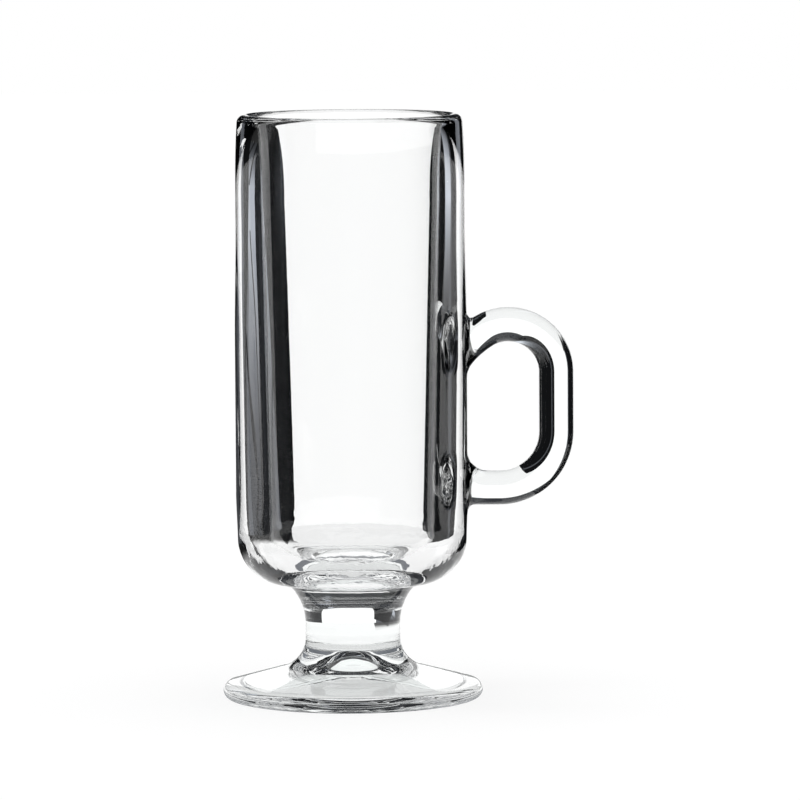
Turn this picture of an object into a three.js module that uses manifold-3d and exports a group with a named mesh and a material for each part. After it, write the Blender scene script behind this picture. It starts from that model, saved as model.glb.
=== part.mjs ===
// Footed glass coffee cup with a loop handle, in millimetres, +Z up, standing on z = 0.
// Four pieces of clear pressed glass are fused hot where their flat faces meet: a straight
// thick-walled bowl with a collar below and two handle pads, the handle, a waisted stem,
// and a round foot that is hollow underneath.
import * as THREE from "three";
import { mergeVertices } from "three/addons/utils/BufferGeometryUtils.js";
import Module from "manifold-3d";

// Foot
const FOOT_RADIUS = 36.7;
const FOOT_EDGE_ROUND = 2.3;
const FOOT_SLOPE_DEG = 15.1;
const FOOT_COVE_RADIUS = 8.9;
const CONTACT_RING_WIDTH = 3.4;
const HOLLOW_EDGE = 0.6;
const HOLLOW_SLOPE_DEG = 14;
const HOLLOW_CORNER = 1.5;
const DOME_RADIUS = 11.5;
const DOME_FLARE = 4.4;
const FOOT_CROWN = 1.3;

// Stem, with its welds measured from the two ends of its straight waist
const WAIST_RADIUS = 13.4;
const WAIST_LENGTH = 3.9;
const FOOT_WELD_DROP = 3.3;
const BOWL_WELD_RISE = 6;

// Bowl
const OVERALL_HEIGHT = 165;
const BOWL_RADIUS = 32.3;
const COLLAR_COVE_RADIUS = 15.5;
const COLLAR_SWEEP_DEG = 44;
const COLLAR_BEND_RADIUS = 2.6;
const RIM_WALL = 4.4;
const LIP_INSET = 0.5;
const SHOULDER_DEPTH = 18;
const MOUTH_DEPTH = 24;
const CAVITY_MOUTH_RADIUS = 25.2;
const CAVITY_FLOOR_RADIUS = 23.3;
const FLOOR_CORNER_RADIUS = 8;
const FLOOR_THICKNESS = 6.5;

// Handle, with its reach measured from the cup's axis and its rise from the bowl's base
const HANDLE_REACH = 62.6;
const HANDLE_THICKNESS = 9.7;
const HANDLE_WIDTH = 10.2;
const HANDLE_RISE = 26.7;
const HANDLE_GRIP_LENGTH = 16.7;
const UPPER_ARM_RUN = 4.5;
const UPPER_ARM_TILT_DEG = 28.4;
const CREST_RADIUS = 13;
const LOWER_ARM_RUN = 8.3;
const GAP_FILLET_RADIUS = 6.2;
const OUTER_FILLET_RADIUS = 2.5;
const FLANK_FILLET_RADIUS = 2;
const PAD_HEIGHT = 1.2;
const PAD_EMBED = 3.5;

// Facets
const ROUND_SIDES = 48;
const ARC_DIVISIONS = 4;
const BAR_SIDES = 20;
const HANDLE_STEPS = 56;
const PAD_STEPS = 4;

// The foot's cone touches the edge round and the cove, which sets the height of the waist.
const slope = THREE.MathUtils.degToRad(FOOT_SLOPE_DEG);
const edgeCentre = new THREE.Vector2(FOOT_RADIUS - FOOT_EDGE_ROUND, FOOT_EDGE_ROUND);
const coveCentreRadius = WAIST_RADIUS + FOOT_COVE_RADIUS;
const coneRun = edgeCentre.x - coveCentreRadius;
const coneOffset = (FOOT_EDGE_ROUND + FOOT_COVE_RADIUS) / Math.cos(slope);
const waistHeight = edgeCentre.y + coneRun * Math.tan(slope) + coneOffset;
const footWeldHeight = waistHeight - FOOT_WELD_DROP;
const footWeldAngle = Math.PI + Math.asin(FOOT_WELD_DROP / FOOT_COVE_RADIUS);
const footWeldRadius = coveCentreRadius + FOOT_COVE_RADIUS * Math.cos(footWeldAngle);
const ringInner = edgeCentre.x - CONTACT_RING_WIDTH;

// The collar's cove sweeps out from the waist and turns in a small bend to the bowl's round base.
const collarSweep = Math.PI - THREE.MathUtils.degToRad(COLLAR_SWEEP_DEG);
const collarStart = waistHeight + WAIST_LENGTH;
const coveReach = WAIST_RADIUS + COLLAR_COVE_RADIUS;
const bowlWeldHeight = collarStart + BOWL_WELD_RISE;
const bowlWeldAngle = Math.PI - Math.asin(BOWL_WELD_RISE / COLLAR_COVE_RADIUS);
const bowlWeldRadius = coveReach + COLLAR_COVE_RADIUS * Math.cos(bowlWeldAngle);
const bendSpan = COLLAR_COVE_RADIUS - COLLAR_BEND_RADIUS;
const cornerCentreRadius = coveReach + bendSpan * Math.cos(collarSweep);
const bendHeight = collarStart + bendSpan * Math.sin(collarSweep);
const bowlBaseHeight = bendHeight + COLLAR_BEND_RADIUS;
const bowlCornerRadius = BOWL_RADIUS - cornerCentreRadius;

// The handle's flat ends and the flat tops of its pads share one plane beside the bowl.
const seatX = BOWL_RADIUS + PAD_HEIGHT;
const tilt = THREE.MathUtils.degToRad(UPPER_ARM_TILT_DEG);

// The bounding box is centred on the origin, so the cup's axis stands to the left of it.
const axisX = (FOOT_RADIUS - HANDLE_REACH) / 2;

const wasm = await Module();
wasm.setup();

/** A closed geometry as a solid, with its shared vertices merged. */
function solidFrom(geometry) {
  const bare = geometry.clone();
  bare.deleteAttribute("normal");
  bare.deleteAttribute("uv");
  const merged = mergeVertices(bare, 1e-3);
  return new wasm.Manifold(
    new wasm.Mesh({
      numProp: 3,
      vertProperties: merged.getAttribute("position").array,
      triVerts: new Uint32Array(merged.index.array),
    }),
  );
}

/** A solid's surface as a geometry with flat faces. */
function geometryFrom(solid) {
  const mesh = solid.getMesh();
  const geometry = new THREE.BufferGeometry();
  geometry.setAttribute("position", new THREE.BufferAttribute(mesh.vertProperties, mesh.numProp));
  geometry.setIndex(new THREE.BufferAttribute(mesh.triVerts, 1));
  geometry.computeVertexNormals();
  return geometry;
}

/** A profile of radius and height turned about the Z axis. */
function turned(profile) {
  const lathe = new THREE.LatheGeometry(profile.getPoints(ARC_DIVISIONS), ROUND_SIDES);
  return lathe.rotateX(Math.PI / 2);
}

/** Extra reach of the handle's section near the bowl: a concave fillet against the wall. */
function rootFlare(distanceFromWall, filletRadius) {
  const inside = filletRadius - THREE.MathUtils.clamp(distanceFromWall, 0, filletRadius);
  return filletRadius - Math.sqrt(filletRadius ** 2 - inside ** 2);
}

/** One oval section of the handle or a pad, across a normal that points out of the loop. */
function station(x, z, normal, slant) {
  const height = x - BOWL_RADIUS;
  const outer = (HANDLE_THICKNESS / 2) * slant + rootFlare(height, OUTER_FILLET_RADIUS);
  const inner = (HANDLE_THICKNESS / 2) * slant + rootFlare(height, GAP_FILLET_RADIUS);
  return {
    centre: new THREE.Vector2(x, z).addScaledVector(normal, (outer - inner) / 2),
    normal,
    halfThickness: (outer + inner) / 2,
    halfWidth: HANDLE_WIDTH / 2 + rootFlare(height, FLANK_FILLET_RADIUS),
  };
}

/** A closed bar through a row of stations, as a cylinder with one ring carried to each. */
function barThrough(stations) {
  const steps = stations.length - 1;
  const bar = new THREE.CylinderGeometry(1, 1, steps, BAR_SIDES, steps);
  const place = bar.getAttribute("position");
  for (let i = 0; i < place.count; i += 1) {
    const ring = stations[Math.round(place.getY(i) + steps / 2)];
    const across = place.getX(i) * ring.halfThickness;
    const x = ring.centre.x + across * ring.normal.x;
    const y = place.getZ(i) * ring.halfWidth;
    const z = ring.centre.y + across * ring.normal.y;
    place.setXYZ(i, x, y, z);
  }
  return bar;
}

/** The handle's centreline: rising arm, crest, bend, straight grip, bend and level lower arm. */
function handleCentreline() {
  const gripX = HANDLE_REACH - HANDLE_THICKNESS / 2;
  const armEndX = seatX + UPPER_ARM_RUN;
  const crestX = armEndX + CREST_RADIUS * Math.sin(tilt);
  const upperBend = gripX - crestX;
  const lowerBend = gripX - seatX - LOWER_ARM_RUN;
  const lowerArmZ = bowlBaseHeight + HANDLE_RISE;
  const lowerBendZ = lowerArmZ + lowerBend;
  const upperBendZ = lowerBendZ + HANDLE_GRIP_LENGTH;
  const crestZ = upperBendZ + upperBend - CREST_RADIUS;
  const armEndZ = crestZ + CREST_RADIUS * Math.cos(tilt);
  const path = new THREE.Path();
  path.moveTo(seatX, armEndZ - UPPER_ARM_RUN * Math.tan(tilt));
  path.lineTo(armEndX, armEndZ);
  path.absarc(crestX, crestZ, CREST_RADIUS, Math.PI / 2 + tilt, Math.PI / 2, true);
  path.absarc(crestX, upperBendZ, upperBend, Math.PI / 2, 0, true);
  path.lineTo(gripX, lowerBendZ);
  path.absarc(gripX - lowerBend, lowerBendZ, lowerBend, 0, -Math.PI / 2, true);
  path.lineTo(seatX, lowerArmZ);
  return path;
}

/** The handle, whose sections turn upright towards the bowl so that both ends lie in the seat. */
function makeHandle() {
  const path = handleCentreline();
  const stations = path.getSpacedPoints(HANDLE_STEPS).map((point, i) => {
    const tangent = path.getTangentAt(i / HANDLE_STEPS);
    const square = new THREE.Vector2(-tangent.y, tangent.x);
    const upright = new THREE.Vector2(0, Math.sign(square.y));
    const lean = THREE.MathUtils.smoothstep(point.x - seatX, 0, GAP_FILLET_RADIUS);
    const normal = upright.lerp(square, lean).normalize();
    return station(point.x, point.y, normal, 1 / normal.dot(square));
  });
  return barThrough(stations);
}

/** A handle pad: the last of the root fillet, from the flat seat into the bowl's wall. */
function makePad(z, outward, slant) {
  const normal = new THREE.Vector2(0, outward);
  const stations = [];
  for (let i = 0; i <= PAD_STEPS; i += 1) {
    const x = seatX - (PAD_HEIGHT * i) / PAD_STEPS;
    stations.push(station(x, z, normal, slant));
  }
  stations.push(station(BOWL_RADIUS - PAD_EMBED, z, normal, slant));
  return barThrough(outward > 0 ? stations.reverse() : stations);
}

/** The bowl: collar, round base corner, straight wall, full round rim and tapering cavity. */
function makeBowl() {
  const rimRound = RIM_WALL / 2;
  const rimZ = OVERALL_HEIGHT - rimRound;
  const lipRadius = BOWL_RADIUS - LIP_INSET;
  const shoulderZ = OVERALL_HEIGHT - SHOULDER_DEPTH;
  const mouthZ = OVERALL_HEIGHT - MOUTH_DEPTH;
  const floorZ = bowlBaseHeight + FLOOR_THICKNESS;
  const floorFlat = CAVITY_FLOOR_RADIUS - FLOOR_CORNER_RADIUS;
  const cornerZ = bowlBaseHeight + bowlCornerRadius;
  const profile = new THREE.Path();
  profile.moveTo(0, bowlWeldHeight);
  profile.lineTo(bowlWeldRadius, bowlWeldHeight);
  profile.absarc(coveReach, collarStart, COLLAR_COVE_RADIUS, bowlWeldAngle, collarSweep, true);
  profile.absarc(cornerCentreRadius, bendHeight, COLLAR_BEND_RADIUS, collarSweep, Math.PI / 2, true);
  profile.absarc(cornerCentreRadius, cornerZ, bowlCornerRadius, -Math.PI / 2, 0, false);
  profile.lineTo(BOWL_RADIUS, shoulderZ);
  profile.quadraticCurveTo(BOWL_RADIUS, (shoulderZ + rimZ) / 2, lipRadius, rimZ);
  profile.absarc(lipRadius - rimRound, rimZ, rimRound, 0, Math.PI, false);
  profile.quadraticCurveTo(CAVITY_MOUTH_RADIUS, (rimZ + mouthZ) / 2, CAVITY_MOUTH_RADIUS, mouthZ);
  profile.lineTo(CAVITY_FLOOR_RADIUS, floorZ + FLOOR_CORNER_RADIUS);
  profile.absarc(floorFlat, floorZ + FLOOR_CORNER_RADIUS, FLOOR_CORNER_RADIUS, 0, -Math.PI / 2, true);
  profile.lineTo(0, floorZ);
  const path = handleCentreline();
  const upperPad = solidFrom(makePad(path.getPoint(0).y, 1, 1 / Math.cos(tilt)));
  const lowerPad = solidFrom(makePad(path.getPoint(1).y, -1, 1));
  return geometryFrom(solidFrom(turned(profile)).add(upperPad).add(lowerPad));
}

/** The stem: a solid straight waist between the foot's cove and the collar's cove. */
function makeStem() {
  const profile = new THREE.Path();
  profile.moveTo(0, footWeldHeight);
  profile.lineTo(footWeldRadius, footWeldHeight);
  profile.absarc(coveCentreRadius, waistHeight, FOOT_COVE_RADIUS, footWeldAngle, Math.PI, true);
  profile.absarc(coveReach, collarStart, COLLAR_COVE_RADIUS, Math.PI, bowlWeldAngle, true);
  profile.lineTo(0, bowlWeldHeight);
  return turned(profile);
}

/** A point of the cone under the foot, which rises inwards from the contact ring. */
function underside(radius) {
  const rise = (ringInner - radius) * Math.tan(THREE.MathUtils.degToRad(HOLLOW_SLOPE_DEG));
  return new THREE.Vector2(radius, HOLLOW_EDGE + rise);
}

/** The foot: domed hollow, cone underneath, contact ring, rounded edge, cone and cove. */
function makeFoot() {
  const domeHeight = footWeldHeight - FOOT_CROWN;
  const domeEdge = underside(DOME_RADIUS);
  const domeTurn = underside(DOME_RADIUS - DOME_FLARE);
  const cornerStart = underside(ringInner - HOLLOW_CORNER);
  const cornerTurn = underside(ringInner - HOLLOW_CORNER / 3);
  const profile = new THREE.Path();
  profile.moveTo(0, domeHeight);
  profile.bezierCurveTo(DOME_FLARE, domeHeight, domeTurn.x, domeTurn.y, domeEdge.x, domeEdge.y);
  profile.lineTo(cornerStart.x, cornerStart.y);
  profile.quadraticCurveTo(cornerTurn.x, cornerTurn.y, ringInner, 0);
  profile.lineTo(edgeCentre.x, 0);
  profile.absarc(edgeCentre.x, edgeCentre.y, FOOT_EDGE_ROUND, -Math.PI / 2, Math.PI / 2 - slope, false);
  profile.absarc(
    coveCentreRadius,
    waistHeight,
    FOOT_COVE_RADIUS,
    1.5 * Math.PI - slope,
    footWeldAngle,
    true,
  );
  profile.lineTo(0, footWeldHeight);
  return turned(profile);
}

/** Clear glass of a thickness that shows a little of its own green-grey. */
function clearGlass(color) {
  return new THREE.MeshStandardMaterial({
    color,
    roughness: 0.03,
    metalness: 0,
    transparent: true,
    opacity: 0.35,
  });
}

const cup = new THREE.Group();
cup.position.x = axisX;

const pieces = [
  ["bowl", makeBowl(), 0xe9f0ef],
  ["handle", makeHandle(), 0xeaf1ef],
  ["stem", makeStem(), 0xe2ebe8],
  ["foot", makeFoot(), 0xe5edeb],
];
for (const [name, geometry, color] of pieces) {
  const mesh = new THREE.Mesh(geometry, clearGlass(color));
  mesh.name = name;
  cup.add(mesh);
}

const coffeeCup = new THREE.Group();
coffeeCup.add(cup);

export default coffeeCup;
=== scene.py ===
"""Footed glass coffee cup with a loop handle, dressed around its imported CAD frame.

Lengths are in millimetres from the cup's own axis until a piece is put into its mesh.
"""

import bpy
import numpy as np
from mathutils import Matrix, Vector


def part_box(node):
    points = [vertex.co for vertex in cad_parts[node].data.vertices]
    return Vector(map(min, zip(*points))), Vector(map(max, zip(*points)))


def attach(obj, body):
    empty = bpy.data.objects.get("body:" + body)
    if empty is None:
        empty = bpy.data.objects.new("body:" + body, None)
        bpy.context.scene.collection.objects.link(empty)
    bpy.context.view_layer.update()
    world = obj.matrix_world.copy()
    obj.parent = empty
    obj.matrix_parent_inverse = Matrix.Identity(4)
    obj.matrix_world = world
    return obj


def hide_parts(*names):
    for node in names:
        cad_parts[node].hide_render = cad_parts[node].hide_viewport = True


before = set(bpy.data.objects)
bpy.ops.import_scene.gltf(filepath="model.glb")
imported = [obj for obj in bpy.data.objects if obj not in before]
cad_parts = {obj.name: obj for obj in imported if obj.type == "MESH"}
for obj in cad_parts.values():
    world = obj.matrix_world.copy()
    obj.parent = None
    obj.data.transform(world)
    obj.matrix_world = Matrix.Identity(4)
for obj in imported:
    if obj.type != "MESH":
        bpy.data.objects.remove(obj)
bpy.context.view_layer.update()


# Foot
# The round base of the cup, pressed from clear glass. It stands on a narrow ring, is hollow
# underneath, and rises in a shallow cone to the cove where the stem is fused on hot.
FOOT_RADIUS = 36.7
FOOT_EDGE_ROUND = 2.3
FOOT_SLOPE = np.radians(15.1)
FOOT_COVE_RADIUS = 8.9
CONTACT_RING_WIDTH = 3.4
HOLLOW_EDGE = 0.6
HOLLOW_SLOPE = np.radians(14.0)
HOLLOW_CORNER = 1.5
DOME_RADIUS = 11.5
DOME_FLARE = 4.4
FOOT_CROWN = 1.3
WAIST_RADIUS = 13.4
FOOT_WELD_DROP = 3.3
RING_DEPTH = 0.016
RING_PITCH = 1.7
RING_FOOT = 11.0
RING_HEAD = 18.5
RING_EASE = 3.0
CHILL_TOP = 56.0
CHILL_FULL = 44.0
WAVE_HEIGHT = 0.02
WAVE_SCALE = 62.0
WAVE_DETAIL = 1.0
WAVE_DRAW = 0.3
RIPPLE_DETAIL = 2.0
SMEAR_SCALE = 35.0
SMEAR_DETAIL = 3.0
SMEAR_SPAN = (0.45, 0.75)
SMEAR_ROUGHNESS = 0.02
GLASS_IOR = 1.52
CREASE_ANGLE = np.radians(35.0)
FOOT_TINT = (0.97, 0.99, 0.985)
FOOT_RIPPLE = 0.006
FOOT_RIPPLE_SCALE = 240.0
TURNED_SIDES = 288
MM = 0.001

# The cup's axis stands to the left of the row's origin, because the handle is on the right.
foot_low, foot_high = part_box("foot")
AXIS = np.array([(foot_low.x + foot_high.x) / 2, (foot_low.y + foot_high.y) / 2, 0.0])

edge_centre = np.array([FOOT_RADIUS - FOOT_EDGE_ROUND, FOOT_EDGE_ROUND])
cove_centre_radius = WAIST_RADIUS + FOOT_COVE_RADIUS
cove_radii = (FOOT_COVE_RADIUS, FOOT_COVE_RADIUS)
cone_rise = (edge_centre[0] - cove_centre_radius) * np.tan(FOOT_SLOPE)
cone_offset = (FOOT_EDGE_ROUND + FOOT_COVE_RADIUS) / np.cos(FOOT_SLOPE)
waist_height = edge_centre[1] + cone_rise + cone_offset
cove_centre = (cove_centre_radius, waist_height)
dome_height = waist_height - FOOT_WELD_DROP - FOOT_CROWN
foot_weld_angle = np.pi + np.arcsin(FOOT_WELD_DROP / FOOT_COVE_RADIUS)


def elliptic_arc(centre, radii, start, end, count):
    """Centre plus the two radii times the cosine and sine of evenly spaced angles."""
    angle = np.linspace(start, end, count)
    across = centre[0] + radii[0] * np.cos(angle)
    up = centre[1] + radii[1] * np.sin(angle)
    return np.column_stack([across, up])


def straight(first, last, count):
    """Evenly spaced points of the line between two points."""
    return np.linspace(first, last, count)


def bezier(controls, count):
    """A Bezier curve: neighbouring points are blended by the parameter until one is left."""
    t = np.linspace(0.0, 1.0, count)[:, None]
    layer = [np.asarray(point, float) + 0.0 * t for point in controls]
    while len(layer) > 1:
        layer = [a * (1.0 - t) + b * t for a, b in zip(layer, layer[1:])]
    return layer[0]


def smooth_step(value):
    """The cubic ease from 0 to 1, held level outside that range."""
    share = np.clip(value, 0.0, 1.0)
    return share * share * (3.0 - 2.0 * share)


def chill_rings(profile):
    """Fine rings that a cool mould leaves: an eased sine of the height added to the radius."""
    height = profile[:, 1]
    below = smooth_step((height - RING_FOOT) / RING_EASE)
    above = smooth_step((RING_HEAD - height) / RING_EASE)
    ring = RING_DEPTH * np.sin(2.0 * np.pi * height / RING_PITCH) * below * above
    return profile + np.column_stack([ring, np.zeros(len(ring))])


def joined(*runs):
    """Runs of points end to end, each without the first point that it shares with the last run."""
    return np.vstack([runs[0], *[run[1:] for run in runs[1:]]])


def turned(profile):
    """A profile of radius and height turned about the axis, by the cosine and sine of each turn."""
    turn = 2.0 * np.pi * np.arange(TURNED_SIDES) / TURNED_SIDES
    radius = profile[:, 0, None]
    height = np.repeat(profile[:, 1, None], TURNED_SIDES, axis=1)
    return np.stack([radius * np.cos(turn), radius * np.sin(turn), height], axis=-1)


def band_faces(rings):
    """Quads between neighbouring rings of vertex numbers, each ring closed on itself."""
    ahead = np.roll(rings, -1, axis=1)
    return np.stack([rings[:-1], ahead[:-1], ahead[1:], rings[1:]], axis=-1)


def fan_faces(ring, pole):
    """Triangles from each pair of neighbours in a ring to one pole."""
    return np.stack([ring, np.roll(ring, -1), np.full_like(ring, pole)], axis=-1)


def closed_piece(name, points, walls, welds, node):
    """A mesh of glass walls and fused weld faces that stands for one CAD node."""
    groups = [np.reshape(f, (-1, np.shape(f)[-1])) for f in [*walls, *welds]]
    corners = np.concatenate([f.ravel() for f in groups]).astype(np.int32)
    totals = np.concatenate([np.full(len(f), f.shape[1]) for f in groups]).astype(np.int32)
    wall_count = sum(len(f) for f in groups[: len(walls)])
    mesh = bpy.data.meshes.new(name)
    mesh.vertices.add(len(points))
    mesh.vertices.foreach_set("co", (points * MM + AXIS).astype(np.float32).ravel())
    mesh.loops.add(len(corners))
    mesh.loops.foreach_set("vertex_index", corners)
    mesh.polygons.add(len(totals))
    starts = np.cumsum(totals) - totals
    is_weld = np.arange(len(totals)) >= wall_count
    mesh.polygons.foreach_set("loop_start", starts.astype(np.int32))
    mesh.polygons.foreach_set("material_index", is_weld.astype(np.int32))
    mesh.polygons.foreach_set("use_smooth", np.ones(len(totals), bool))
    mesh.update(calc_edges=True)
    mesh.validate()
    mesh.set_sharp_from_angle(angle=CREASE_ANGLE)
    piece = bpy.data.objects.new(name, mesh)
    bpy.context.scene.collection.objects.link(piece)
    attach(piece, "root")
    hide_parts(node)
    return piece


def math_node(tree, operation, *terms):
    """The output of a math node whose terms are numbers or other nodes' outputs."""
    node = tree.nodes.new("ShaderNodeMath")
    node.operation = operation
    for socket, term in zip(node.inputs, terms):
        if isinstance(term, float):
            socket.default_value = term
        else:
            tree.links.new(term, socket)
    return node.outputs[0]


def noise(tree, place, scale, detail):
    """The output of a noise texture, whose scale is a number or another node's output."""
    node = tree.nodes.new("ShaderNodeTexNoise")
    node.inputs["Detail"].default_value = detail
    tree.links.new(place, node.inputs["Vector"])
    if isinstance(scale, float):
        node.inputs["Scale"].default_value = scale
    else:
        tree.links.new(scale, node.inputs["Scale"])
    return node.outputs["Fac"]


def ramp(tree, value, start, end, top=1.0, shape="LINEAR"):
    """The output of a node that takes a value from 0 at the start to the top at the end."""
    node = tree.nodes.new("ShaderNodeMapRange")
    node.interpolation_type = shape
    node.inputs["From Min"].default_value = start
    node.inputs["From Max"].default_value = end
    node.inputs["To Max"].default_value = top
    tree.links.new(value, node.inputs["Value"])
    return node.outputs["Result"]


def object_place(tree):
    """The object coordinates of a point on the surface, and the height among them."""
    place = tree.nodes.new("ShaderNodeTexCoord").outputs["Object"]
    split = tree.nodes.new("ShaderNodeSeparateXYZ")
    tree.links.new(place, split.inputs[0])
    return place, split.outputs["Z"]


def pressed_glass_surface():
    """A node group with the slow waves and fine ripples that pressing leaves, and faint smears.

    The waves are drawn out along the height. The ripples grow downwards where the glass was chilled.
    """
    group = bpy.data.node_groups.new("pressed_glass_surface", "ShaderNodeTree")
    for way, names in [
        ("INPUT", ["Wave Height", "Ripple Height", "Ripple Scale", "Chill Gain"]),
        ("OUTPUT", ["Height", "Roughness"]),
    ]:
        for name in names:
            group.interface.new_socket(name, in_out=way, socket_type="NodeSocketFloat")
    given = group.nodes.new("NodeGroupInput").outputs
    result = group.nodes.new("NodeGroupOutput").inputs
    place, height = object_place(group)
    drawn = group.nodes.new("ShaderNodeMapping")
    drawn.inputs["Scale"].default_value = (1.0, 1.0, WAVE_DRAW)
    group.links.new(place, drawn.inputs["Vector"])
    waves = noise(group, drawn.outputs["Vector"], WAVE_SCALE, WAVE_DETAIL)
    ripples = noise(group, place, given["Ripple Scale"], RIPPLE_DETAIL)
    smears = noise(group, place, SMEAR_SCALE, SMEAR_DETAIL)
    chill = ramp(group, height, CHILL_TOP * MM, CHILL_FULL * MM, shape="SMOOTHSTEP")
    gain = math_node(group, "MULTIPLY_ADD", chill, given["Chill Gain"], 1.0)
    wave_height = math_node(group, "MULTIPLY", waves, given["Wave Height"])
    ripple_height = math_node(group, "MULTIPLY", ripples, given["Ripple Height"])
    chilled_height = math_node(group, "MULTIPLY", ripple_height, gain)
    total = math_node(group, "ADD", wave_height, chilled_height)
    group.links.new(total, result["Height"])
    group.links.new(ramp(group, smears, *SMEAR_SPAN, SMEAR_ROUGHNESS), result["Roughness"])
    return group


def clear_glass(name, tint, ripple_height, ripple_scale, chill_gain):
    """Clear glass of a faint tint, with the pressed surface on it."""
    glass = bpy.data.materials.new(name)
    glass.use_nodes = True
    nodes, links = glass.node_tree.nodes, glass.node_tree.links
    shader = nodes["Principled BSDF"]
    shader.inputs["Base Color"].default_value = (*tint, 1.0)
    shader.inputs["Transmission Weight"].default_value = 1.0
    shader.inputs["IOR"].default_value = GLASS_IOR
    surface = nodes.new("ShaderNodeGroup")
    surface.node_tree = pressed_surface
    surface.inputs["Wave Height"].default_value = WAVE_HEIGHT * MM
    surface.inputs["Ripple Height"].default_value = ripple_height * MM
    surface.inputs["Ripple Scale"].default_value = ripple_scale
    surface.inputs["Chill Gain"].default_value = chill_gain
    bump = nodes.new("ShaderNodeBump")
    bump.inputs["Strength"].default_value = 1.0
    bump.inputs["Distance"].default_value = 1.0
    links.new(surface.outputs["Height"], bump.inputs["Height"])
    links.new(surface.outputs["Roughness"], shader.inputs["Roughness"])
    links.new(bump.outputs["Normal"], shader.inputs["Normal"])
    return glass


def fused_face():
    """The face where two hot pieces ran together, which light passes straight through."""
    fused = bpy.data.materials.new("fused_face")
    fused.use_nodes = True
    fused.node_tree.nodes["Principled BSDF"].inputs["Alpha"].default_value = 0.0
    return fused


pressed_surface = pressed_glass_surface()
fused = fused_face()

cone_normal = np.array([np.sin(FOOT_SLOPE), np.cos(FOOT_SLOPE)])
cone_low = edge_centre + FOOT_EDGE_ROUND * cone_normal
cone_high = np.array(cove_centre) - FOOT_COVE_RADIUS * cone_normal
edge_radii = (FOOT_EDGE_ROUND, FOOT_EDGE_ROUND)
cone_angle = 1.5 * np.pi - FOOT_SLOPE
ring_inner = edge_centre[0] - CONTACT_RING_WIDTH


def underside(radius):
    """A point of the hollow's shallow cone, which rises inwards from the contact ring."""
    return (radius, HOLLOW_EDGE + (ring_inner - radius) * np.tan(HOLLOW_SLOPE))


foot_profile = joined(
    bezier(
        [
            (0.0, dome_height),
            (DOME_FLARE, dome_height),
            underside(DOME_RADIUS - DOME_FLARE),
            underside(DOME_RADIUS),
        ],
        count=40,
    ),
    straight(underside(DOME_RADIUS), underside(ring_inner - HOLLOW_CORNER), count=16),
    bezier(
        [
            underside(ring_inner - HOLLOW_CORNER),
            underside(ring_inner - HOLLOW_CORNER / 3),
            (ring_inner, 0.0),
        ],
        count=12,
    ),
    straight((ring_inner, 0.0), (edge_centre[0], 0.0), count=4),
    elliptic_arc(edge_centre, edge_radii, -np.pi / 2, np.pi / 2 - FOOT_SLOPE, count=32),
    straight(cone_low, cone_high, count=16),
    chill_rings(elliptic_arc(cove_centre, cove_radii, cone_angle, foot_weld_angle, count=72)),
)
foot_rings = turned(foot_profile[1:])
foot_points = np.vstack([foot_rings.reshape(-1, 3), [[0.0, 0.0, dome_height]]])
foot_numbers = np.arange(foot_rings.shape[0] * TURNED_SIDES).reshape(-1, TURNED_SIDES)
foot = closed_piece(
    "foot_glass",
    foot_points,
    [fan_faces(foot_numbers[0], len(foot_points) - 1)[:, [1, 0, 2]], band_faces(foot_numbers)],
    [foot_numbers[-1:]],
    "foot",
)
foot.data.materials.append(
    clear_glass("foot_clear_glass", FOOT_TINT, FOOT_RIPPLE, FOOT_RIPPLE_SCALE, 0.0)
)
foot.data.materials.append(fused)
# Clear glass lets the light through to the table that shows in the hollow.
foot.visible_shadow = False


# Stem
# The solid waist between foot and bowl. It is pressed glass too, and its two ends ran into
# its neighbours while hot, so that only faint rings show where they meet.
WAIST_LENGTH = 3.9
COLLAR_COVE_RADIUS = 15.5
COLLAR_SWEEP = np.radians(44.0)
COLLAR_BEND_RADIUS = 2.6
BOWL_WELD_RISE = 6.0
STEM_TINT = (0.97, 0.99, 0.985)
STEM_RIPPLE = 0.004
RIPPLE_SCALE = 260.0

collar_start = waist_height + WAIST_LENGTH
collar_centre = (WAIST_RADIUS + COLLAR_COVE_RADIUS, collar_start)
collar_radii = (COLLAR_COVE_RADIUS, COLLAR_COVE_RADIUS)
bowl_weld_angle = np.pi - np.arcsin(BOWL_WELD_RISE / COLLAR_COVE_RADIUS)
stem_profile = joined(
    chill_rings(elliptic_arc(cove_centre, cove_radii, foot_weld_angle, np.pi, count=36)),
    chill_rings(straight((WAIST_RADIUS, waist_height), (WAIST_RADIUS, collar_start), count=36)),
    elliptic_arc(collar_centre, collar_radii, np.pi, bowl_weld_angle, count=16),
)
stem_rings = turned(stem_profile)
stem_numbers = np.arange(stem_rings.shape[0] * TURNED_SIDES).reshape(-1, TURNED_SIDES)
stem = closed_piece(
    "stem_glass",
    stem_rings.reshape(-1, 3),
    [band_faces(stem_numbers)],
    [stem_numbers[:1, ::-1], stem_numbers[-1:]],
    "stem",
)
stem.data.materials.append(clear_glass("stem_clear_glass", STEM_TINT, STEM_RIPPLE, RIPPLE_SCALE, 0.0))
stem.data.materials.append(fused)


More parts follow.
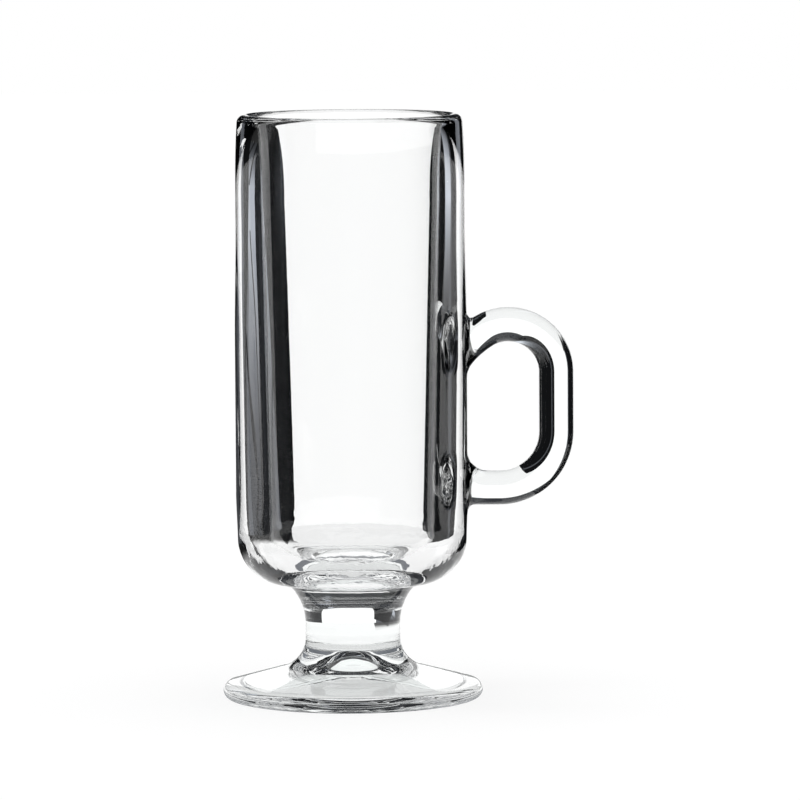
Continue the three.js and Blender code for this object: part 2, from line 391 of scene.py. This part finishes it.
# Bowl
# A tall straight glass with a thick wall, a fire-polished rim and a tapering cavity, pressed
# in one piece with the collar below. Two low pads on its wall carry the ends of the handle.
OVERALL_HEIGHT = 165.0
BOWL_RADIUS = 32.3
RIM_WALL = 4.4
LIP_INSET = 0.5
SHOULDER_DEPTH = 18.0
MOUTH_DEPTH = 24.0
CAVITY_MOUTH_RADIUS = 25.2
CAVITY_FLOOR_RADIUS = 23.3
FLOOR_CORNER_RADIUS = 8.0
FLOOR_THICKNESS = 6.5
HANDLE_REACH = 62.6
HANDLE_THICKNESS = 9.7
HANDLE_WIDTH = 10.2
HANDLE_RISE = 26.7
HANDLE_GRIP_LENGTH = 16.7
UPPER_ARM_RUN = 4.5
UPPER_ARM_TILT = np.radians(28.4)
CREST_RADIUS = 13.0
LOWER_ARM_RUN = 8.3
GAP_FILLET_RADIUS = 6.2
OUTER_FILLET_RADIUS = 2.5
FLANK_FILLET_RADIUS = 2.0
PAD_HEIGHT = 1.2
RIDGE_HEIGHT = 0.45
RIDGE_HALF_WIDTH = 6.0
RIDGE_FOOT = 16.0
RIDGE_HEAD = 32.0
WINDOW_COLUMNS = 20
WINDOW_ROWS = 20
WINDOW_HALF_HEIGHT = 12.0
UPPER_WALL_POINTS = 20
PAD_WALL_STEPS = 8
PAD_ROUND_POINTS = 14
BOWL_TINT = (0.995, 0.998, 0.997)
BOWL_RIPPLE = 0.003
BOWL_CHILL_GAIN = 20.0

bend_lift = COLLAR_COVE_RADIUS * np.sin(COLLAR_SWEEP)
bend_reach = COLLAR_COVE_RADIUS * (1.0 - np.cos(COLLAR_SWEEP))
corner_centre_radius = WAIST_RADIUS + bend_reach + COLLAR_BEND_RADIUS * np.cos(COLLAR_SWEEP)
bowl_base = collar_start + bend_lift + COLLAR_BEND_RADIUS * (1.0 - np.sin(COLLAR_SWEEP))
corner_radius = BOWL_RADIUS - corner_centre_radius
corner_height = bowl_base + corner_radius
rim_round = RIM_WALL / 2
rim_height = OVERALL_HEIGHT - rim_round
lip_radius = BOWL_RADIUS - LIP_INSET
shoulder_height = OVERALL_HEIGHT - SHOULDER_DEPTH
mouth_height = OVERALL_HEIGHT - MOUTH_DEPTH
floor_height = bowl_base + FLOOR_THICKNESS
floor_corner_height = floor_height + FLOOR_CORNER_RADIUS
floor_flat = CAVITY_FLOOR_RADIUS - FLOOR_CORNER_RADIUS
floor_corner_radii = (FLOOR_CORNER_RADIUS, FLOOR_CORNER_RADIUS)
seat_x = BOWL_RADIUS + PAD_HEIGHT
grip_x = HANDLE_REACH - HANDLE_THICKNESS / 2
arm_end_x = seat_x + UPPER_ARM_RUN
crest_x = arm_end_x + CREST_RADIUS * np.sin(UPPER_ARM_TILT)
upper_bend = grip_x - crest_x
lower_bend = grip_x - seat_x - LOWER_ARM_RUN
lower_root = bowl_base + HANDLE_RISE
lower_bend_z = lower_root + lower_bend
upper_bend_z = lower_bend_z + HANDLE_GRIP_LENGTH
crest_z = upper_bend_z + upper_bend - CREST_RADIUS
arm_end_z = crest_z + CREST_RADIUS * np.cos(UPPER_ARM_TILT)
upper_root = arm_end_z - UPPER_ARM_RUN * np.tan(UPPER_ARM_TILT)


def wall_run(low, high, count):
    """A straight run up the bowl's outer wall."""
    return straight((BOWL_RADIUS, low), (BOWL_RADIUS, high), count)


collar_and_corner = joined(
    elliptic_arc(collar_centre, collar_radii, bowl_weld_angle, np.pi - COLLAR_SWEEP, count=14),
    elliptic_arc(
        (corner_centre_radius, bowl_base - COLLAR_BEND_RADIUS),
        (COLLAR_BEND_RADIUS, COLLAR_BEND_RADIUS),
        np.pi - COLLAR_SWEEP,
        np.pi / 2,
        count=12,
    ),
    elliptic_arc(
        (corner_centre_radius, corner_height), (corner_radius, corner_radius), -np.pi / 2, 0.0, count=36
    ),
    wall_run(corner_height, lower_root - WINDOW_HALF_HEIGHT, count=3),
)
lower_window = len(collar_and_corner) - 1
middle_wall = wall_run(lower_root + WINDOW_HALF_HEIGHT, upper_root - WINDOW_HALF_HEIGHT, count=14)
upper_window = lower_window + WINDOW_ROWS + len(middle_wall) - 1
bowl_profile = joined(
    collar_and_corner,
    wall_run(lower_root - WINDOW_HALF_HEIGHT, lower_root + WINDOW_HALF_HEIGHT, WINDOW_ROWS + 1),
    middle_wall,
    wall_run(upper_root - WINDOW_HALF_HEIGHT, upper_root + WINDOW_HALF_HEIGHT, WINDOW_ROWS + 1),
    wall_run(upper_root + WINDOW_HALF_HEIGHT, shoulder_height, UPPER_WALL_POINTS),
    bezier(
        [
            (BOWL_RADIUS, shoulder_height),
            (BOWL_RADIUS, (shoulder_height + rim_height) / 2),
            (lip_radius, rim_height),
        ],
        count=20,
    ),
    elliptic_arc((lip_radius - rim_round, rim_height), (rim_round, rim_round), 0.0, np.pi, count=24),
    bezier(
        [
            (lip_radius - RIM_WALL, rim_height),
            (CAVITY_MOUTH_RADIUS, (rim_height + mouth_height) / 2),
            (CAVITY_MOUTH_RADIUS, mouth_height),
        ],
        count=20,
    ),
    straight((CAVITY_MOUTH_RADIUS, mouth_height), (CAVITY_FLOOR_RADIUS, floor_corner_height), count=50),
    elliptic_arc((floor_flat, floor_corner_height), floor_corner_radii, 0.0, -np.pi / 2, count=30),
    straight((floor_flat, floor_height), (0.0, floor_height), count=16),
)


def side_ridge(arc, height):
    """The low swelling on the mould's two seams: a bell across the wall, eased in below and above."""
    across = np.exp(-((arc / RIDGE_HALF_WIDTH) ** 2))
    below = smooth_step((height - lower_root + RIDGE_FOOT) / RIDGE_FOOT)
    above = smooth_step((upper_root + RIDGE_HEAD - height) / RIDGE_HEAD)
    return RIDGE_HEIGHT * across * below * above


bowl_rings = turned(bowl_profile[:-1])
outer_rings = bowl_rings[: upper_window + WINDOW_ROWS + UPPER_WALL_POINTS]
outer_arc = BOWL_RADIUS * np.arctan2(outer_rings[..., 1], np.abs(outer_rings[..., 0]))
outer_rings[..., :2] *= 1.0 + (side_ridge(outer_arc, outer_rings[..., 2]) / BOWL_RADIUS)[..., None]
bowl_numbers = np.arange(bowl_rings.shape[0] * TURNED_SIDES).reshape(-1, TURNED_SIDES)
bowl_faces = band_faces(bowl_numbers)


def root_flare(height, fillet):
    """Extra reach of the section at a height above the wall: a concave quarter round against it."""
    inside = fillet - np.clip(height, 0.0, fillet)
    return fillet - np.sqrt(fillet**2 - inside**2)


# Each pad fills a window in the wall's grid. Its border runs anticlockwise from the lower left, in
# columns from the window's middle and rows from its foot.
along = np.arange(-WINDOW_COLUMNS, WINDOW_COLUMNS)
up = np.arange(WINDOW_ROWS)
border_column = np.concatenate(
    [along, np.full(WINDOW_ROWS, WINDOW_COLUMNS), -along, np.full(WINDOW_ROWS, -WINDOW_COLUMNS)]
)
border_row = np.concatenate(
    [np.zeros(2 * WINDOW_COLUMNS, int), up, np.full(2 * WINDOW_COLUMNS, WINDOW_ROWS), WINDOW_ROWS - up]
)
border_height = (border_row / WINDOW_ROWS * 2.0 - 1.0) * WINDOW_HALF_HEIGHT
section_angle = np.arctan2(border_height / WINDOW_HALF_HEIGHT, border_column / WINDOW_COLUMNS)


def bar_section(height, slant):
    """Half-width, half-thickness and outward shift of the bar and its flares at a height above the wall."""
    outer = HANDLE_THICKNESS / 2 * slant + root_flare(height, OUTER_FILLET_RADIUS)
    inner = HANDLE_THICKNESS / 2 * slant + root_flare(height, GAP_FILLET_RADIUS)
    half_width = HANDLE_WIDTH / 2 + root_flare(height, FLANK_FILLET_RADIUS)
    return half_width, (outer + inner) / 2, (outer - inner) / 2


def handle_pad(root_height, side, slant):
    """Rings from the window's border in to the flat oval seat: round the wall, then up a quarter round.

    Side is 1 where the outside of the loop is above the root, and -1 where it is below.
    """
    half_width, half_thickness, shift = bar_section(PAD_HEIGHT, slant)
    seat_y = half_width * np.cos(section_angle)
    seat_z = half_thickness * np.sin(section_angle) + side * shift
    seat_radius = np.hypot(seat_x, seat_y)
    seat_arc = BOWL_RADIUS * np.arctan2(seat_y, seat_x)
    end_fillet = np.where(side * np.sin(section_angle) > 0.0, OUTER_FILLET_RADIUS, GAP_FILLET_RADIUS)
    fillet = FLANK_FILLET_RADIUS + (end_fillet - FLANK_FILLET_RADIUS) * np.sin(section_angle) ** 2
    rise = seat_radius - BOWL_RADIUS - side_ridge(seat_arc, root_height + seat_z)
    outward = np.stack([np.cos(section_angle) / half_width, np.sin(section_angle) / half_thickness])
    outward = outward / np.linalg.norm(outward, axis=0)
    sweep = np.linspace(0.0, 1.0, PAD_ROUND_POINTS)[:, None]
    start = np.arccos(1.0 - rise / fillet)
    angle = start * sweep
    height = fillet * (1.0 - np.cos(angle))
    reach = fillet * (np.sin(start) - np.sin(angle))
    fillet_arc = seat_arc + reach * outward[0]
    fillet_z = seat_z + reach * outward[1]
    border_arc = BOWL_RADIUS * border_column * 2.0 * np.pi / TURNED_SIDES
    share = np.linspace(0.0, 1.0, PAD_WALL_STEPS + 1)[1:-1, None]
    flat_arc = border_arc + (fillet_arc[0] - border_arc) * share
    flat_z = border_height + (fillet_z[0] - border_height) * share
    arc = np.vstack([flat_arc, fillet_arc])
    z = np.vstack([flat_z, fillet_z]) + root_height
    radius = BOWL_RADIUS + np.vstack([np.zeros_like(flat_arc), height])
    ridge = side_ridge(arc, z)
    ridge[-len(height) :] = side_ridge(seat_arc, root_height + seat_z)
    radius = radius + ridge
    turn = arc / BOWL_RADIUS
    return np.stack([radius * np.cos(turn), radius * np.sin(turn), z], axis=-1)


bowl_points = [bowl_rings.reshape(-1, 3), [[0.0, 0.0, floor_height]]]
floor_pole = bowl_rings.shape[0] * TURNED_SIDES
count = floor_pole + 1
keep = np.ones(bowl_faces.shape[:2], bool)
pad_walls, seats, seat_rings = [], [], []
for window, root, side, slant in [
    (lower_window, lower_root, -1.0, 1.0),
    (upper_window, upper_root, 1.0, 1.0 / np.cos(UPPER_ARM_TILT)),
]:
    columns = np.arange(-WINDOW_COLUMNS, WINDOW_COLUMNS) % TURNED_SIDES
    keep[window : window + WINDOW_ROWS, columns] = False
    pad = handle_pad(root, side, slant)
    numbers = count + np.arange(pad.shape[0] * pad.shape[1]).reshape(pad.shape[:2])
    border = bowl_numbers[window + border_row, border_column % TURNED_SIDES]
    pad_walls.append(band_faces(np.vstack([border, numbers])))
    seats.append(numbers[-1:])
    seat_rings.append(pad[-1])
    bowl_points.append(pad.reshape(-1, 3))
    count += pad.shape[0] * pad.shape[1]
bowl = closed_piece(
    "bowl_glass",
    np.vstack(bowl_points),
    [bowl_faces[keep], fan_faces(bowl_numbers[-1], floor_pole), *pad_walls],
    [bowl_numbers[:1, ::-1], *seats],
    "bowl",
)
bowl.data.materials.append(
    clear_glass("bowl_clear_glass", BOWL_TINT, BOWL_RIPPLE, RIPPLE_SCALE, BOWL_CHILL_GAIN)
)
bowl.data.materials.append(fused)


# Handle
# A loop of clear glass with an oval section, drawn and bent hot, then stuck to the bowl's two
# pads. Its upper arm rises from the wall, and its roots spread where the soft glass was pressed on.
HANDLE_STEPS = 220
HANDLE_TINT = (0.975, 0.99, 0.985)
HANDLE_RIPPLE = 0.004

crest_radii = (CREST_RADIUS, CREST_RADIUS)
loop = joined(
    straight((seat_x, upper_root), (arm_end_x, arm_end_z), count=60),
    elliptic_arc((crest_x, crest_z), crest_radii, np.pi / 2 + UPPER_ARM_TILT, np.pi / 2, count=80),
    elliptic_arc((crest_x, upper_bend_z), (upper_bend, upper_bend), np.pi / 2, 0.0, count=200),
    straight((grip_x, upper_bend_z), (grip_x, lower_bend_z), count=100),
    elliptic_arc((grip_x - lower_bend, lower_bend_z), (lower_bend, lower_bend), 0.0, -np.pi / 2, count=200),
    straight((grip_x - lower_bend, lower_root), (seat_x, lower_root), count=80),
)
length = np.concatenate([[0.0], np.cumsum(np.linalg.norm(np.diff(loop, axis=0), axis=1))])
step = np.linspace(0.0, length[-1], HANDLE_STEPS + 1)
line = np.column_stack([np.interp(step, length, loop[:, 0]), np.interp(step, length, loop[:, 1])])
tangent = np.gradient(line, axis=0)
tangent = tangent / np.linalg.norm(tangent, axis=1)[:, None]
lean = smooth_step((line[:, :1] - seat_x) / GAP_FILLET_RADIUS)
square = np.column_stack([-tangent[:, 1], tangent[:, 0]])
upright = np.column_stack([np.zeros(len(line)), np.sign(square[:, 1])])
across = square * lean + upright * (1.0 - lean)
across = across / np.linalg.norm(across, axis=1)[:, None]
slant = 1.0 / np.sum(across * square, axis=1, keepdims=True)
half_width, half_thickness, shift = bar_section(line[:, :1] - BOWL_RADIUS, slant)
offset = half_thickness * np.sin(section_angle) + shift
handle_rings = np.stack(
    [
        line[:, :1] + offset * across[:, :1],
        half_width * np.cos(section_angle),
        line[:, 1:] + offset * across[:, 1:],
    ],
    axis=-1,
)
handle_grid = handle_rings.shape[:2]
handle_numbers = np.arange(np.prod(handle_grid)).reshape(handle_grid)
handle = closed_piece(
    "handle_glass",
    handle_rings.reshape(-1, 3),
    [band_faces(handle_numbers)],
    [handle_numbers[:1, ::-1], handle_numbers[-1:]],
    "handle",
)
handle.data.materials.append(
    clear_glass("handle_clear_glass", HANDLE_TINT, HANDLE_RIPPLE, RIPPLE_SCALE, 0.0)
)
handle.data.materials.append(fused)


# Studio
# A white table under one broad light, with a white backdrop and a dark ceiling. The backdrop is white
# to the camera alone. In the glass the table stays nearly white, and the ceiling shows dark.
TABLE_REACH = 4000.0
TABLE_CORNERS = np.array([(-1.0, -1.0, 0.0), (1.0, -1.0, 0.0), (1.0, 1.0, 0.0), (-1.0, 1.0, 0.0)])
TABLE_COLOUR = (0.9, 0.9, 0.9, 1.0)
TABLE_ROUGHNESS = 0.8
WHITE = (1.0, 1.0, 1.0, 1.0)
WHITE_TO_CAMERA = 0.8
WHITE_IN_GLASS = 0.75
CEILING_COLOUR = (0.03, 0.032, 0.036, 1.0)
LIGHT_STRENGTH = 3.6
LIGHT_SPREAD = np.radians(60.0)


def stage_sheet(name, corners, faces):
    """A stage sheet from corners in millimetres about the cup's axis."""
    mesh = bpy.data.meshes.new(name)
    mesh.from_pydata((np.asarray(corners, float) * MM + AXIS).tolist(), [], faces)
    sheet = bpy.data.objects.new(name, mesh)
    bpy.context.scene.collection.objects.link(sheet)
    return sheet


def mixed_shaders(tree, share, first, second):
    """The output of a mix that goes from the first shader to the second as the share grows."""
    mix = tree.nodes.new("ShaderNodeMixShader")
    for source, socket in zip([share, first.outputs[0], second.outputs[0]], mix.inputs):
        tree.links.new(source, socket)
    return mix.outputs[0]


table = stage_sheet("table", TABLE_REACH * TABLE_CORNERS, [(0, 1, 2, 3)])
white = bpy.data.materials.new("white_table")
white.use_nodes = True
tree = white.node_tree
paint = tree.nodes["Principled BSDF"]
paint.inputs["Base Color"].default_value = TABLE_COLOUR
paint.inputs["Roughness"].default_value = TABLE_ROUGHNESS
paint.inputs["Specular IOR Level"].default_value = 0.0
glow = tree.nodes.new("ShaderNodeEmission")
glow.inputs["Strength"].default_value = 1.0
path = tree.nodes.new("ShaderNodeLightPath").outputs
in_glass = math_node(tree, "MAXIMUM", path["Is Glossy Ray"], path["Is Transmission Ray"])
glass_share = math_node(tree, "MULTIPLY", in_glass, WHITE_IN_GLASS)
camera_share = math_node(tree, "MULTIPLY", path["Is Camera Ray"], WHITE_TO_CAMERA)
white_share = math_node(tree, "MAXIMUM", glass_share, camera_share)
tree.links.new(
    mixed_shaders(tree, white_share, paint, glow), tree.nodes["Material Output"].inputs["Surface"]
)
table.data.materials.append(white)

world = bpy.data.worlds.new("studio")
bpy.context.scene.world = world
world.use_nodes = True
tree = world.node_tree
ceiling = tree.nodes["Background"]
ceiling.inputs["Color"].default_value = CEILING_COLOUR
backdrop = tree.nodes.new("ShaderNodeBackground")
backdrop.inputs["Color"].default_value = WHITE
path = tree.nodes.new("ShaderNodeLightPath").outputs
tree.links.new(
    mixed_shaders(tree, path["Is Camera Ray"], ceiling, backdrop),
    tree.nodes["World Output"].inputs["Surface"],
)

overhead = bpy.data.lights.new("overhead", "SUN")
overhead.energy = LIGHT_STRENGTH
overhead.angle = LIGHT_SPREAD
overhead_object = bpy.data.objects.new("overhead", overhead)
overhead_object.visible_glossy = False
overhead_object.visible_transmission = False
bpy.context.scene.collection.objects.link(overhead_object)


# Camera
# A long lens about one and three quarter metres in front of the cup and a little above its rim.
CAMERA_PLACE = (0.00076, -1.75, 0.2459)
CAMERA_PITCH = 5.278
CAMERA_ROLL = -0.342
CAMERA_SENSOR = 36.0
CAMERA_LENS = 280.4
GLASS_BOUNCES = 32
MIRROR_BOUNCES = 12

camera = bpy.data.cameras.new("camera")
camera.sensor_width = CAMERA_SENSOR
camera.lens = CAMERA_LENS
camera_object = bpy.data.objects.new("camera", camera)
camera_object.location = CAMERA_PLACE
camera_object.rotation_euler = np.radians((90.0 - CAMERA_PITCH, 0.0, 0.0))
camera_object.rotation_euler.rotate_axis("Z", np.radians(CAMERA_ROLL))
bpy.context.scene.collection.objects.link(camera_object)
bpy.context.scene.camera = camera_object
bpy.context.scene.view_settings.view_transform = "Standard"
bpy.context.scene.cycles.max_bounces = GLASS_BOUNCES
bpy.context.scene.cycles.transmission_bounces = GLASS_BOUNCES
bpy.context.scene.cycles.glossy_bounces = MIRROR_BOUNCES


# Boards round the cup
# Light and dark boards that only the glass sees, set as for a photograph of clear glass: it shows the
# white panel behind it, and its thick edges pick up the black. They keep to the camera's heading.
BLUE_GREY = (0.85, 0.9, 1.0, 1.0)
BLACK_LIGHT = 0.006
BOARD_POINTS = 24

# A round of panels stands behind the cup and at its sides. Each has its first and last heading in
# degrees, its light at the foot and at the head, and its tint.
PANEL_DISTANCE = 320.0
PANEL_HEIGHT = 190.0
PANEL_GRADE = (0.0, 100.0)
PANELS = [
    (62.0, 110.0, 1.15, 1.15, WHITE),
    (110.0, 123.0, 0.15, 0.15, BLUE_GREY),
    (123.0, 141.0, 0.05, 0.62, BLUE_GREY),
    (141.0, 422.0, 0.02, 0.02, BLUE_GREY),
]

# Two slanting struts stand before the left panels, by their headings at the foot and at the head,
# and a skirting before the white panel, which only reflections show.
STRUT_DISTANCE = 315.0
STRUT_WIDTH = 2.5
STRUT_HEIGHT = 100.0
STRUTS = [(135.0, 109.0), (142.4, 127.6)]
SKIRTING_HEIGHT = 25.0

# A dark runner lies on the table at the left. Towards the cup it rises a little and fades to white.
# Each part has its near and far distance, and the height and the light of its near edge.
RUNNER_HEADINGS = (108.0, 230.0)
RUNNER_HEIGHT = 1.0
RUNNER_LIFTED = 3.0
RUNNER_LIGHT = 0.03
RUNNERS = [(215.0, 318.0, RUNNER_HEIGHT, RUNNER_LIGHT), (130.0, 215.0, RUNNER_LIFTED, 0.95)]
RUNNER_GRADE = (RUNNER_HEIGHT, RUNNER_LIFTED)

# A grey ring that only the glass sees lies round the foot's edge: painted shade, where the glass would dim
# the table.
SHADE_RADII = (35.0, 45.0)
SHADE_LIFT = 0.02
SHADE_LIGHT = 0.2
SHADE_POINTS = 73

# A black card stands at the left, and four cards in a row at the right. Each of the four has its near
# and far end and its light below and above.
CARD_HEIGHT = 260.0
LEFT_CARD_FOOT = [(-50.0, 80.0, 8.0), (-61.0, 195.0, 30.0)]
LEFT_CARD_HEAD = [(-50.0, -24.0, CARD_HEIGHT), (-61.0, 195.0, CARD_HEIGHT)]
RIGHT_CARD_X = 68.0
RIGHT_CARD_LIFT = 25.0
RIGHT_GRADE = (95.0, 140.0)
RIGHT_CARDS = [
    (0.0, 29.0, BLACK_LIGHT, BLACK_LIGHT),
    (29.0, 53.0, BLACK_LIGHT, 0.9),
    (53.0, 62.0, 0.1, 0.1),
    (62.0, 118.0, BLACK_LIGHT, BLACK_LIGHT),
]

turntable = bpy.data.objects.new("turntable", None)
bpy.context.scene.collection.objects.link(turntable)
heading = turntable.constraints.new("COPY_ROTATION")
heading.target = camera_object
heading.use_x = False
heading.use_y = False


def glowing(name, low, high, grade, tint):
    """A material whose light grows from low to high with the square of the height in the grade."""
    material = bpy.data.materials.new(name)
    material.use_nodes = True
    tree = material.node_tree
    light = tree.nodes.new("ShaderNodeEmission")
    light.inputs["Color"].default_value = tint
    light.inputs["Strength"].default_value = low
    if high > low:
        height = object_place(tree)[1]
        rise = ramp(tree, height, grade[0] * MM, grade[1] * MM)
        square = math_node(tree, "MULTIPLY", rise, rise)
        strength = math_node(tree, "MULTIPLY_ADD", square, high - low, low)
        tree.links.new(strength, light.inputs["Strength"])
    tree.links.new(light.outputs[0], tree.nodes["Material Output"].inputs["Surface"])
    return material


def board(name, first, second, material):
    """A sheet on the turntable between two lines of points, which only the glass sees."""
    count = len(first)
    faces = [(i, i + 1, count + i + 1, count + i) for i in range(count - 1)]
    sheet = stage_sheet(name, np.vstack([first, second]), faces)
    sheet.visible_camera = False
    sheet.visible_shadow = False
    sheet.visible_diffuse = False
    sheet.parent = turntable
    sheet.data.materials.append(material)
    return sheet


def round_the_cup(distance, headings, height):
    """Points at one distance from the cup's axis, by their headings in degrees and a height."""
    turn = np.radians(headings)
    heights = np.full(len(turn), height)
    return np.column_stack([distance * np.cos(turn), distance * np.sin(turn), heights])


black = glowing("black_card", BLACK_LIGHT, BLACK_LIGHT, PANEL_GRADE, BLUE_GREY)
for number, (start, end, low, high, tint) in enumerate(PANELS):
    headings = np.linspace(start, end, BOARD_POINTS)
    board(
        f"panel_{number}",
        round_the_cup(PANEL_DISTANCE, headings, 0.0),
        round_the_cup(PANEL_DISTANCE, headings, PANEL_HEIGHT),
        glowing(f"panel_light_{number}", low, high, PANEL_GRADE, tint),
    )
for number, (foot_heading, head_heading) in enumerate(STRUTS):
    board(
        f"strut_{number}",
        round_the_cup(STRUT_DISTANCE, [foot_heading, foot_heading + STRUT_WIDTH], 0.0),
        round_the_cup(STRUT_DISTANCE, [head_heading, head_heading + STRUT_WIDTH], STRUT_HEIGHT),
        black,
    )
headings = np.linspace(*PANELS[0][:2], BOARD_POINTS)
skirting = board(
    "skirting",
    round_the_cup(STRUT_DISTANCE, headings, 0.0),
    round_the_cup(STRUT_DISTANCE, headings, SKIRTING_HEIGHT),
    black,
)
skirting.visible_transmission = False
headings = np.linspace(*RUNNER_HEADINGS, BOARD_POINTS)
for number, (near, far, near_height, near_light) in enumerate(RUNNERS):
    board(
        f"runner_{number}",
        round_the_cup(near, headings, near_height),
        round_the_cup(far, headings, RUNNER_HEIGHT),
        glowing(f"runner_{number}", RUNNER_LIGHT, near_light, RUNNER_GRADE, WHITE),
    )
# The contact shade is painted shade: a dim grey sheet that stands for the foot's shadow on the table.
headings = np.linspace(0.0, 360.0, SHADE_POINTS)
board(
    "contact_shade",
    round_the_cup(SHADE_RADII[0], headings, SHADE_LIFT),
    round_the_cup(SHADE_RADII[1], headings, SHADE_LIFT),
    glowing("contact_shade", SHADE_LIGHT, SHADE_LIGHT, PANEL_GRADE, BLUE_GREY),
)
board("left_card", LEFT_CARD_FOOT, LEFT_CARD_HEAD, black)
for number, (near, far, low, high) in enumerate(RIGHT_CARDS):
    board(
        f"right_card_{number}",
        [(RIGHT_CARD_X, near, RIGHT_CARD_LIFT), (RIGHT_CARD_X, far, RIGHT_CARD_LIFT)],
        [(RIGHT_CARD_X, near, CARD_HEIGHT), (RIGHT_CARD_X, far, CARD_HEIGHT)],
        glowing(f"right_card_{number}", low, high, RIGHT_GRADE, BLUE_GREY),
    )
